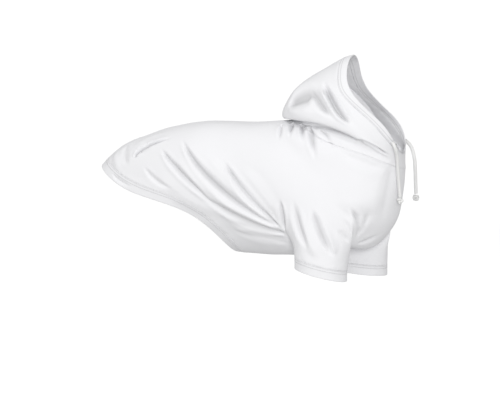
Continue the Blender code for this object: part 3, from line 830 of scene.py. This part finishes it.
def ripple(point):
    """Slow, shallow unevenness of worn cloth."""
    place = Vector(point)
    slow = noise.noise(place / RIPPLE_LENGTH)
    quick = noise.noise(place / (QUICK_LENGTH * RIPPLE_LENGTH) + Vector((3.1, 7.7, 1.3)))
    return RIPPLE_DEPTH * (slow + QUICK_DEPTH * quick)


def fold_place(row, sleeve, x, z):
    """A fold's place seen from the side, in metres."""
    if row.on == "hood":
        nape = body_ring(1.0).top
        return nape + np.array([x * HOOD_FORWARD, z * HOOD_RISE])
    if row.on == "sleeve":
        return np.array([(sleeve.forward + x) * CHEST_REACH, z * CHEST_DEPTH])
    return np.array([along(x), z * CHEST_DEPTH])


def fold_path(row, sleeve, tree):
    """Points along a fold's valley on one side of the surface."""
    knots = [fold_place(row, sleeve, *place) for place in
             ((row.x0, row.z0), (row.x1, row.z1), (row.x2, row.z2))]
    bend = 2 * knots[1] - (knots[0] + knots[2]) / 2
    inward = Vector((0, -sleeve.side, 0))
    path = []
    for t in np.linspace(0, 1, FOLD_STEPS):
        x, z = knots[0] * (1 - t) ** 2 + bend * 2 * t * (1 - t) + knots[2] * t * t
        hit = tree.ray_cast(Vector((x, sleeve.side * CHEST_WIDTH, z)), inward)[0]
        if hit is None:
            hit = tree.find_nearest(Vector((x, sleeve.side * CHEST_WIDTH / 2, z)))[0]
        path.append(np.array(hit))
    return np.array(path)


def fold_push(row, gaps, place):
    """How far a fold moves each corner along its normal: a valley between two low ridges."""
    taper = FOLD_TAPER + (1 - FOLD_TAPER) * np.sin(math.pi * place) ** 0.8
    across = gaps / (row.width * FOLD_WIDTH * taper)
    fade = np.clip(place / row.start, 0, 1) * np.clip((1 - place) / row.end, 0, 1)
    fade = fade * fade * (3 - 2 * fade)
    ridges = RIDGE_HEIGHT * np.exp(-((across - RIDGE_PLACE) / RIDGE_WIDTH) ** 2)
    return -row.depth * FOLD_DEPTH * fade * (np.exp(-across ** 1.5) - ridges)


def rim_rows(free):
    """Steps of a rim from its outer face to its inner one: how far back from the edge and down.

    A free edge is round. A sewn one only has its corners rounded, so that the seam closes.
    """
    corner = CLOTH / 2 if free else SEAM_ROUND
    turns = [math.radians(angle) for angle in RIM_ANGLES]
    top = [(corner * (1 - math.sin(turn)), corner * (1 - math.cos(turn))) for turn in turns]
    return top + [(back, CLOTH - down) for back, down in reversed(top)]


def cloth_piece(mesh, name, panels, material):
    """Some panels of the surface as one wall of cloth, with rounded rims and its seams' distances."""
    points, normals = corners_of(mesh), normals_of(mesh)
    labels = {PANELS.index(panel) for panel in panels}
    faces, ways, others = [], {}, set()
    for polygon in mesh.polygons:
        face = tuple(polygon.vertices)
        pairs = list(zip(face, face[1:] + face[:1]))
        if polygon.material_index in labels:
            faces.append(face)
            ways.update(dict.fromkeys(pairs))
        else:
            others.update(pairs)
    rim = [edge for edge in ways if (edge[1], edge[0]) not in ways]
    seam = [edge for edge in rim if (edge[1], edge[0]) in others]
    inward = {}
    for a, b in rim:
        line = points[b] - points[a]
        for number in (a, b):
            way = np.cross(normals[number], line)
            inward[number] = inward.get(number, 0) + way / np.linalg.norm(way)
    stitched = {number for edge in seam for number in edge}
    used = sorted({number for face in faces for number in face})
    index = {number: k for k, number in enumerate(used)}
    rows = {True: rim_rows(True), False: rim_rows(False)}
    outer, inner, between_rows = [], [], {}
    for number in used:
        point, normal = points[number], normals[number]
        if number not in inward:
            outer.append(point)
            inner.append(point - normal * CLOTH)
            continue
        back = inward[number] / np.linalg.norm(inward[number])
        gap = SEAM_GAP / 2 if number in stitched else 0.0
        ring = [point + back * (gap + step) - normal * down
                for step, down in rows[number not in stitched]]
        outer.append(ring[0])
        inner.append(ring[-1])
        between_rows[number] = ring[1:-1]
    count = len(used)
    corners = outer + inner
    # Each corner carries its fold's depth, which the jersey turns into painted shade
    depths = np.empty(len(points))
    mesh.attributes["pressed_mm"].data.foreach_get("value", depths)
    pressed = list(depths[used]) + [0.0] * count
    chain = {}
    for number, ring in between_rows.items():
        first = len(corners)
        corners.extend(ring)
        pressed.extend([depths[number]] * len(ring))
        between = range(first, first + len(ring))
        chain[number] = [index[number], *between, count + index[number]]
    walls = [tuple(index[number] for number in face) for face in faces]
    walls += [tuple(count + index[number] for number in reversed(face)) for face in faces]
    for a, b in rim:
        for k in range(len(chain[a]) - 1):
            walls.append((chain[b][k], chain[a][k], chain[a][k + 1], chain[b][k + 1]))
    piece = bpy.data.meshes.new(name)
    piece.from_pydata([tuple(corner) for corner in corners], [], walls)
    piece.shade_smooth()
    distance = piece.attributes.new("seam_mm", "FLOAT", "POINT")
    distance.data.foreach_set("value", seam_distances(corners, points, seam))
    piece.attributes.new("pressed_mm", "FLOAT", "POINT").data.foreach_set("value", pressed)
    piece.materials.append(material)
    return new_object(name, piece)


def seam_distances(corners, points, seam):
    """Each corner's distance in millimetres from the nearest sewn edge."""
    tree = KDTree(SEAM_PARTS * len(seam))
    for number, (a, b) in enumerate(seam):
        for part in range(SEAM_PARTS):
            place = points[a] + (points[b] - points[a]) * part / SEAM_PARTS
            tree.insert(Vector(place), SEAM_PARTS * number + part)
    tree.balance()
    return [min(1000 * tree.find(Vector(corner))[2], SEAM_FAR_MM) for corner in corners]


def seam_loops(mesh, panel, other):
    """The closed rows of corners where one panel meets another, with the way into the panel."""
    points, normals = corners_of(mesh), normals_of(mesh)
    own, next_to = set(), set()
    for polygon in mesh.polygons:
        face = tuple(polygon.vertices)
        pairs = zip(face, face[1:] + face[:1])
        if polygon.material_index == PANELS.index(panel):
            own.update(pairs)
        elif polygon.material_index == PANELS.index(other):
            next_to.update((b, a) for a, b in pairs)
    follow = dict(own & next_to)
    loops = []
    while follow:
        start = next(iter(follow))
        loop = [start]
        while loop[-1] in follow:
            loop.append(follow.pop(loop[-1]))
        loops.append([(points[a], normals[a], np.cross(normals[a], points[b] - points[c]))
                      for c, a, b in zip([loop[-2]] + loop[:-2], loop[:-1], loop[1:])])
    return loops


def stitch_rows(mesh, name, material):
    """Rows of topstitching along the seams, as one piece of thread."""
    curve = bpy.data.curves.new(name, "CURVE")
    curve.dimensions = "3D"
    for row in STITCH_ROWS:
        loops = seam_loops(mesh, row.panel, row.other)
        for back, loop in [(back, loop) for back in row.backs for loop in loops]:
            spline = curve.splines.new("POLY")
            spline.points.add(len(loop) - 1)
            spline.use_cyclic_u = True
            for target, (point, normal, way) in zip(spline.points, loop):
                place = point + way / np.linalg.norm(way) * back + normal * THREAD * THREAD_PROUD
                target.co = (*place, 1.0)
    obj = new_object(name, curve)
    modifier = obj.modifiers.new("stitches", "NODES")
    modifier.node_group = stitch_tree(material)
    sockets = {item.name: item.identifier for item in modifier.node_group.interface.items_tree}
    for key, value in (("Spacing", STITCH_SPACING), ("Length", STITCH_LENGTH), ("Thickness", THREAD)):
        modifier[sockets[key]] = value
    return new_object(name, finished_mesh(obj))


def add_node(tree, kind, settings=(), links=()):
    """Adds a node, sets its properties and its sockets' values, and links its inputs."""
    node = tree.nodes.new(kind)
    for key, value in dict(settings).items():
        if isinstance(key, str) and hasattr(node, key):
            setattr(node, key, value)
        else:
            node.inputs[key].default_value = value
    for key, source in dict(links).items():
        tree.links.new(source, node.inputs[key])
    return node


def stitch_tree(material):
    """Puts a short round stitch at each step along a curve."""
    tree = bpy.data.node_groups.new("stitches along a seam", "GeometryNodeTree")
    tree.interface.new_socket("Geometry", in_out="INPUT", socket_type="NodeSocketGeometry")
    for name in ("Spacing", "Length", "Thickness"):
        tree.interface.new_socket(name, in_out="INPUT", socket_type="NodeSocketFloat")
    tree.interface.new_socket("Geometry", in_out="OUTPUT", socket_type="NodeSocketGeometry")
    given = add_node(tree, "NodeGroupInput").outputs
    places = add_node(tree, "GeometryNodeCurveToPoints", {"mode": "LENGTH"},
                      {"Curve": given["Geometry"], "Length": given["Spacing"]}).outputs
    turn = add_node(tree, "FunctionNodeAlignRotationToVector", {"axis": "Z"},
                    {"Vector": places["Tangent"]})
    ball = add_node(tree, "GeometryNodeMeshUVSphere", {"Segments": 6, "Rings": 5, "Radius": 0.5})
    size = add_node(tree, "ShaderNodeCombineXYZ", {},
                    {"X": given["Thickness"], "Y": given["Thickness"], "Z": given["Length"]})
    stitch = add_node(tree, "GeometryNodeTransform", {},
                      {"Geometry": ball.outputs["Mesh"], "Scale": size.outputs["Vector"]})
    copies = add_node(tree, "GeometryNodeInstanceOnPoints", {},
                      {"Points": places["Points"], "Instance": stitch.outputs["Geometry"],
                       "Rotation": turn.outputs["Rotation"]})
    real = add_node(tree, "GeometryNodeRealizeInstances", {}, {"Geometry": copies.outputs["Instances"]})
    smooth = add_node(tree, "GeometryNodeSetShadeSmooth", {}, {"Geometry": real.outputs["Geometry"]})
    painted = add_node(tree, "GeometryNodeSetMaterial", {"Material": material},
                       {"Geometry": smooth.outputs["Geometry"]})
    add_node(tree, "NodeGroupOutput", {}, {"Geometry": painted.outputs["Geometry"]})
    return tree


def linear(code, share=1.0):
    """A colour in sRGB hex as the linear colour of a shader, or a darker share of it."""
    parts = [int(code[k:k + 2], 16) / 255 for k in (1, 3, 5)]
    colour = [c / 12.92 if c <= 0.04045 else ((c + 0.055) / 1.055) ** 2.4 for c in parts]
    return (*(share * c for c in colour), 1.0)


def new_material(name, code, roughness, sheen):
    """A material with its shader's own numbers set, and its tree and shader."""
    material = bpy.data.materials.new(name)
    material.use_nodes = True
    tree = material.node_tree
    shader = tree.nodes["Principled BSDF"]
    shader.inputs["Base Color"].default_value = linear(code)
    shader.inputs["Roughness"].default_value = roughness
    shader.inputs["IOR"].default_value = 1.45
    shader.inputs["Specular IOR Level"].default_value = 0.25
    shader.inputs["Sheen Weight"].default_value = sheen
    shader.inputs["Sheen Roughness"].default_value = 0.5
    return material, tree, shader


def jersey(name, code, backs):
    """Brushed cotton jersey: matt, with a faint knit and fuzz, puckers at seams and needle grooves, and
    painted shade that darkens its colour in deep folds and along the needle grooves.
    """
    material, tree, shader = new_material(name, code, 0.92, 0.15)
    place = add_node(tree, "ShaderNodeTexCoord").outputs["Object"]
    seam = add_node(tree, "ShaderNodeAttribute", {"attribute_name": "seam_mm"}).outputs["Fac"]
    pressed = add_node(tree, "ShaderNodeAttribute", {"attribute_name": "pressed_mm"}).outputs["Fac"]
    wales = add_node(tree, "ShaderNodeTexWave",
                     {"bands_direction": "Z", "Scale": 2 * math.pi / 20 * 1000 / WALE_SPACING,
                      "Distortion": 1.5, "Detail": 1.0, "Detail Scale": 2.0}, {"Vector": place})
    fuzz = add_node(tree, "ShaderNodeTexNoise", {"Scale": 1000 / FUZZ_SIZE, "Detail": 3.0},
                    {"Vector": place})
    pucker = add_node(tree, "ShaderNodeTexNoise", {"Scale": 1000 / PUCKER_SIZE, "Detail": 1.0},
                      {"Vector": place})
    bells = []
    for centre, width in [(0.0, PUCKER_REACH)] + [(1000 * back, GROOVE_WIDTH) for back in backs]:
        bell = seam
        for operation, number in (("SUBTRACT", centre), ("ABSOLUTE", 0.0), ("DIVIDE", width),
                                  ("POWER", 2.0), ("MULTIPLY", -1.0), ("EXPONENT", 0.0)):
            bell = add_node(tree, "ShaderNodeMath", {"operation": operation, 1: number},
                            {0: bell}).outputs[0]
        bells.append(bell)
    puckers = add_node(tree, "ShaderNodeMath", {"operation": "MULTIPLY"},
                       {0: pucker.outputs["Fac"], 1: bells[0]})
    height = add_node(tree, "ShaderNodeMath", {"operation": "MULTIPLY", 1: WALE_DEPTH},
                      {0: wales.outputs["Fac"]})
    reliefs = [(fuzz.outputs["Fac"], FUZZ_DEPTH), (puckers.outputs[0], PUCKER_DEPTH)]
    for relief, depth in reliefs + [(groove, -GROOVE_DEPTH) for groove in bells[1:]]:
        height = add_node(tree, "ShaderNodeMath", {"operation": "MULTIPLY_ADD", 1: depth},
                          {0: relief, 2: height.outputs[0]})
    bump = add_node(tree, "ShaderNodeBump", {"Strength": 1.0, "Distance": 0.001},
                    {"Height": height.outputs[0]})
    tree.links.new(bump.outputs["Normal"], shader.inputs["Normal"])
    dye = add_node(tree, "ShaderNodeTexNoise", {"Scale": 1000 / DYE_SIZE, "Detail": 2.0},
                   {"Vector": place})
    tone = add_node(tree, "ShaderNodeMix",
                    {"data_type": "RGBA", 6: linear(code), 7: linear(code, DYE_SHARE)},
                    {"Factor": dye.outputs["Fac"]})
    # Painted shade: the colour darkens where a fold is pressed deep, standing in for the shade in its
    # valley
    dark = add_node(tree, "ShaderNodeMapRange",
                    {"From Min": FOLD_SHADE_FROM, "From Max": FOLD_SHADE_TO,
                     "To Min": 0.0, "To Max": FOLD_SHADE}, {"Value": pressed})
    # Painted shade along the needle grooves: the colour darkens in each groove where its shadow would
    # fall
    for groove in bells[1:]:
        dark = add_node(tree, "ShaderNodeMath", {"operation": "MULTIPLY_ADD", 1: GROOVE_PAINTED_SHADE},
                        {0: groove, 2: dark.outputs[0]})
    # The darker share of the colour that the painted shade mixes in
    painted_shade_colour = add_node(tree, "ShaderNodeMix", {"data_type": "RGBA", 7: linear(code, PAINTED_SHADE_SHARE)},
                      {"Factor": dark.outputs[0], 6: tone.outputs[2]})
    tree.links.new(painted_shade_colour.outputs[2], shader.inputs["Base Color"])
    return material


def plain_thread(name, code):
    """Spun polyester sewing thread: a little glossier than the cloth."""
    material, tree, shader = new_material(name, code, 0.6, 0.2)
    place = add_node(tree, "ShaderNodeTexCoord").outputs["Object"]
    twist = add_node(tree, "ShaderNodeTexNoise", {"Scale": 1 / 0.0005}, {"Vector": place})
    bump = add_node(tree, "ShaderNodeBump", {"Strength": 0.3, "Distance": 0.0001},
                    {"Height": twist.outputs["Fac"]})
    tree.links.new(bump.outputs["Normal"], shader.inputs["Normal"])
    return material


def knitted_cord(name, code):
    """Tubular knitted cotton cord: matt, with slanting strands about 1.5 mm apart along it."""
    material, tree, shader = new_material(name, code, 0.85, 0.3)
    run = add_node(tree, "ShaderNodeAttribute", {"attribute_name": "run"}).outputs["Vector"]
    strands = add_node(tree, "ShaderNodeTexWave",
                       {"wave_type": "BANDS", "bands_direction": "DIAGONAL", "Scale": 1 / 3.2,
                        "Distortion": 0.6}, {"Vector": run})
    bump = add_node(tree, "ShaderNodeBump", {"Strength": 0.8, "Distance": 0.0004},
                    {"Height": strands.outputs["Fac"]})
    tree.links.new(bump.outputs["Normal"], shader.inputs["Normal"])
    return material


def smooth_line(route, count, closed=False):
    """Even points on a smooth curve through the given ones."""
    knots = np.array(route, float)
    if closed:
        knots = np.concatenate([knots[-2:], knots, knots[:2]])
    marks = np.concatenate([[0], np.cumsum(np.linalg.norm(np.diff(knots, axis=0), axis=1))])
    first, last = (marks[2], marks[-2]) if closed else (0, marks[-1])
    return [curve_at(marks, knots, place) for place in np.linspace(first, last, count)]


def tube(name, path, radius, material, round_ends):
    """A closed round tube along a path, with the run along it and round it in an attribute."""
    points = [Vector(point) for point in path]
    corners, runs, faces = [], [], []
    across = None
    travelled = 0.0
    for k, point in enumerate(points):
        ahead = (points[min(k + 1, len(points) - 1)] - points[max(k - 1, 0)]).normalized()
        if across is None:
            across = ahead.orthogonal().normalized()
        across = (across - ahead * across.dot(ahead)).normalized()
        up = ahead.cross(across)
        if k:
            travelled += (point - points[k - 1]).length
        ring = radius(k / (len(points) - 1))
        for j in range(TUBE_SIDES):
            angle = 2 * math.pi * j / TUBE_SIDES
            corners.append(point + (across * math.cos(angle) + up * math.sin(angle)) * ring)
            runs.append((1000 * CORD_DIAMETER / 2 * angle, 1000 * travelled, 0.0))
    last = (len(points) - 1) * TUBE_SIDES
    for first in range(0, last, TUBE_SIDES):
        for j in range(TUBE_SIDES):
            after = (j + 1) % TUBE_SIDES
            faces.append((first + j, first + after,
                          first + TUBE_SIDES + after, first + TUBE_SIDES + j))
    faces.append(tuple(range(TUBE_SIDES - 1, -1, -1)))
    faces.append(tuple(range(last, last + TUBE_SIDES)))
    mesh = bpy.data.meshes.new(name)
    mesh.from_pydata(corners, [], faces)
    mesh.shade_smooth()
    if not round_ends:
        mesh.set_sharp_from_angle(angle=math.radians(60))
    run = mesh.attributes.new("run", "FLOAT_VECTOR", "POINT")
    run.data.foreach_set("vector", [number for place in runs for number in place])
    mesh.materials.append(material)
    return new_object(name, mesh)


def add_cord(name, route, material):
    """One free end of the drawcord."""
    path = smooth_line(route, CORD_STEPS)

    def radius(share):
        narrowed = END_TAPER * max(0.0, share - 1 + CORD_END) / CORD_END
        return CORD_DIAMETER / 2 * (1 - narrowed)

    return tube(name, path, radius, material, False), path


def add_knot(name, end, turn, material):
    """An overhand knot, drawn tight at the cord's end."""
    loop = []
    for k in range(KNOT_POINTS):
        t = 2 * math.pi * k / KNOT_POINTS
        loop.append(((math.sin(t) + 2 * math.sin(2 * t)) / 3, (math.cos(t) - 2 * math.cos(2 * t)) / 3,
                     -math.sin(3 * t)))
    wide = (KNOT_WIDTH - KNOT_PACK * KNOT_STRAND) / 2
    deep = (KNOT_LENGTH - KNOT_PACK * KNOT_STRAND) / 2
    centre = np.array(end) - np.array([0, 0, SEAM_GAP + KNOT_LENGTH / 2])
    path = []
    for x, y, z in smooth_line(loop, KNOT_STEPS, closed=True):
        spun = (x * math.cos(turn) - z * math.sin(turn), x * math.sin(turn) + z * math.cos(turn))
        path.append(centre + np.array([spun[0] * wide, spun[1] * wide * KNOT_FLAT, y * deep]))
    return tube(name, path, lambda share: KNOT_STRAND / 2, material, True)


def add_camera():
    """The camera, at the photograph's place and angle."""
    turn, rise = math.radians(VIEW_TURN), math.radians(VIEW_RISE)
    way = Vector((math.sin(turn) * math.cos(rise), -math.cos(turn) * math.cos(rise), math.sin(rise)))
    data = bpy.data.cameras.new("camera")
    data.lens = VIEW_LENS
    data.sensor_width = SENSOR_WIDTH
    camera = new_object("camera", data)
    camera.location = Vector(VIEW_TARGET) + way * VIEW_DISTANCE
    camera.rotation_euler = way.to_track_quat("Z", "Y").to_euler()
    bpy.context.scene.camera = camera


def add_lamp(name, place, size, power):
    """A soft square lamp that points at the garment."""
    data = bpy.data.lights.new(name, "AREA")
    data.energy = power
    data.size = size
    lamp = new_object(name, data)
    lamp.location = place
    lamp.rotation_euler = (Vector(place) - Vector(VIEW_TARGET)).to_track_quat("Z", "Y").to_euler()


def add_studio():
    """A white sweep, bright all round, with a key from the upper left and a lamp at the front."""
    scene = bpy.context.scene
    world = bpy.data.worlds.new("studio air")
    world.use_nodes = True
    tree = world.node_tree
    air = tree.nodes["Background"]
    air.inputs["Color"].default_value = (1.0, 1.0, 1.0, 1.0)
    way = add_node(tree, "ShaderNodeTexCoord").outputs["Generated"]
    height = add_node(tree, "ShaderNodeSeparateXYZ", {}, {"Vector": way}).outputs["Z"]
    strength = add_node(tree, "ShaderNodeMapRange",
                        {"From Min": -1.0, "From Max": 1.0, "To Min": AIR_BELOW, "To Max": AIR_ABOVE},
                        {"Value": height})
    tree.links.new(strength.outputs["Result"], air.inputs["Strength"])
    scene.world = world
    scene.view_settings.view_transform = "Standard"
    scene.view_settings.look = "None"
    for row in LAMP_ROWS:
        add_lamp(row.name, (row.x, row.y, row.z), row.size, row.power)
    profile = [(SWEEP_FRONT, FLOOR_HEIGHT), (SWEEP_BACK, FLOOR_HEIGHT)]
    for k in range(1, SWEEP_STEPS + 1):
        angle = math.pi / 2 * k / SWEEP_STEPS
        profile.append((SWEEP_BACK + SWEEP_BEND * math.sin(angle),
                        FLOOR_HEIGHT + SWEEP_BEND * (1 - math.cos(angle))))
    profile.append((SWEEP_BACK + SWEEP_BEND, SWEEP_TOP))
    corners = [(x, y, z) for y, z in profile for x in (-SWEEP_HALF, SWEEP_HALF)]
    faces = [(2 * k, 2 * k + 1, 2 * k + 3, 2 * k + 2) for k in range(len(profile) - 1)]
    mesh = bpy.data.meshes.new("white sweep")
    mesh.from_pydata(corners, [], faces)
    mesh.shade_smooth()
    material, _, shader = new_material("white paper sweep", "#F2F2F2", 0.95, 0.0)
    shader.inputs["Emission Color"].default_value = (1.0, 1.0, 1.0, 1.0)
    shader.inputs["Emission Strength"].default_value = SWEEP_GLOW
    shader.inputs["Specular IOR Level"].default_value = 0.0
    mesh.materials.append(material)
    sweep = new_object("white_sweep", mesh)
    sweep.visible_diffuse = False
    sweep.visible_glossy = False


def main():
    """Builds the studio, the cords and the garment, and hides the solids that each piece replaces."""
    add_camera()
    add_studio()
    cord_cloth = knitted_cord("knitted cotton cord", "#F4F4F3")
    for name, route, knot_turn in CORD_ROWS:
        knot = add_knot(name + "_tied_knot", route[-1], knot_turn, cord_cloth)
        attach(knot, "root")
        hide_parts(name + "_knot")
        cord, path = add_cord(name + "_cord_end", route, cord_cloth)
        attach(cord, "root")
        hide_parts(name + "_drawcord")
    surface = garment_surface(SMOOTHING)
    form = garment_surface(SMOOTHING + 1)
    even_out(surface, form)
    paths = fold_paths(surface)
    refine(surface, paths, form)
    refine(surface, [(row, path) for row, path in paths if row.width <= NARROW], form)
    press_folds(surface, paths)
    bpy.data.meshes.remove(form)
    cloth = jersey("brushed cotton jersey", "#F3F3F5", [])
    band = jersey("doubled cotton jersey", "#F4F4F6", TWIN_NEEDLE)
    for row in PIECE_ROWS:
        piece = cloth_piece(surface, row.name, row.panels, band if row.doubled else cloth)
        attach(piece, "root")
        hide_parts(*row.panels)
    thread = plain_thread("spun polyester thread", "#ECECEE")
    stitches = stitch_rows(surface, "topstitching", thread)
    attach(stitches, "root")
    bpy.data.meshes.remove(surface)


main()
